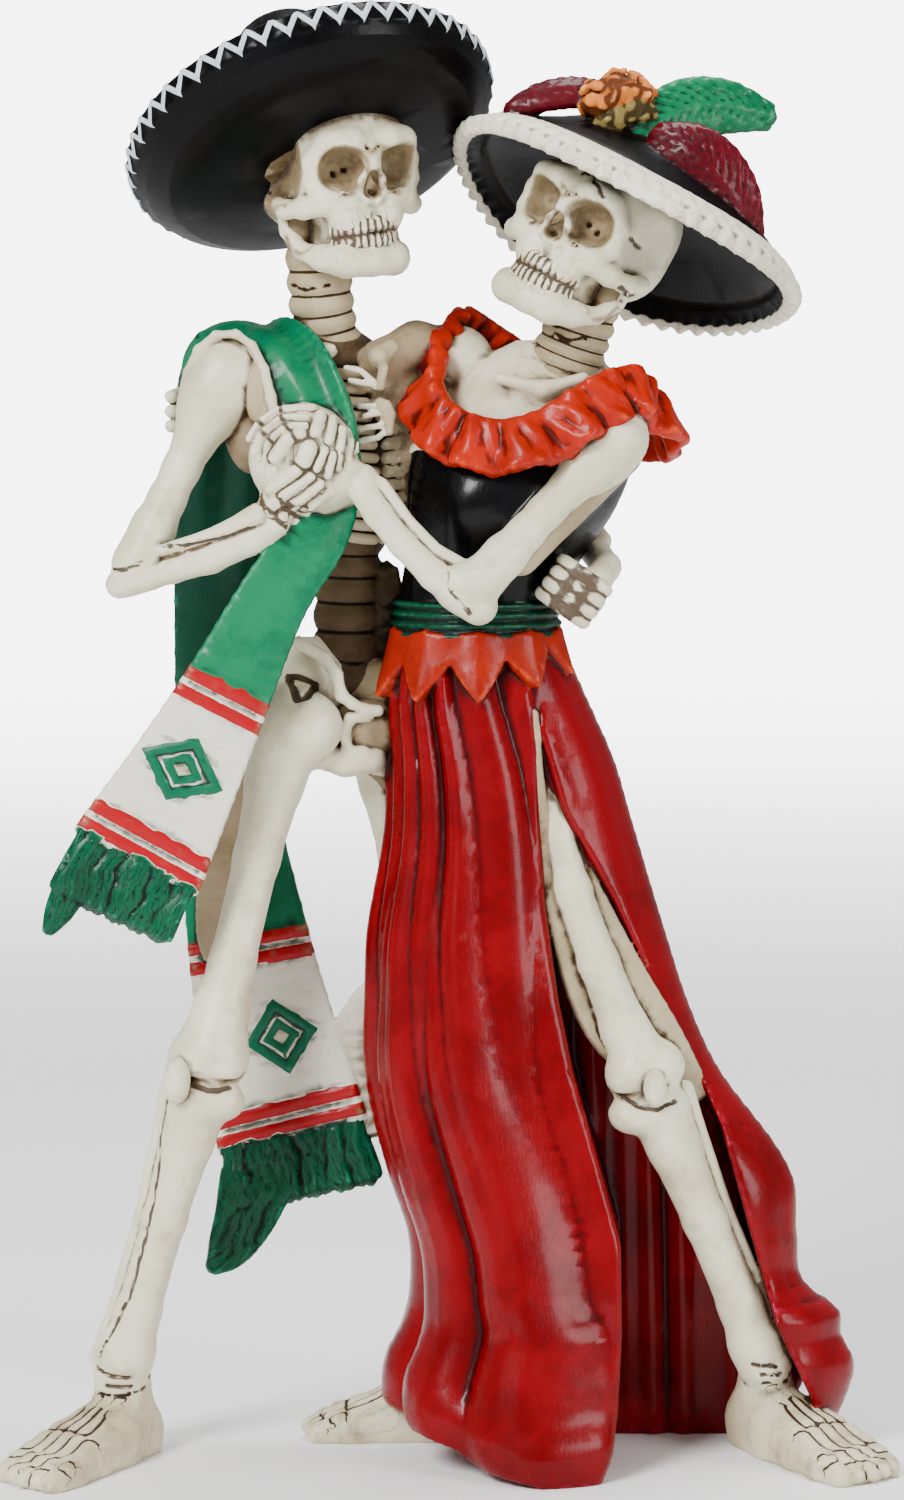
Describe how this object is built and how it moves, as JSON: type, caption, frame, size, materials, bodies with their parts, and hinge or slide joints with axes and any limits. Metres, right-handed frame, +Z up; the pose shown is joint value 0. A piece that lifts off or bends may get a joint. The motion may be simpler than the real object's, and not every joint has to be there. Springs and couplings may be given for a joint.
{
  "type": "day of the dead dancing couple figurine",
  "caption": "Painted resin figurine of a skeleton couple dancing, in wide hats, scarf and long slit skirt; stands on a shelf.",
  "frame": {"origin": "middle of the box that holds the couple, on the ground it stands on", "axes": "+Z up, +X to the right as seen from the front of the picture, +Y away from the viewer"},
  "size_m": [0.1488, 0.0788, 0.2451],
  "materials": {
    "painted_resin": "cast resin, hand-painted: ivory bone with brown wash, gloss black hats, red skirt, green and white scarf"
  },
  "bodies": {
    "root": {"dancing_couple": "painted_resin"}
  },
  "joints": []
}
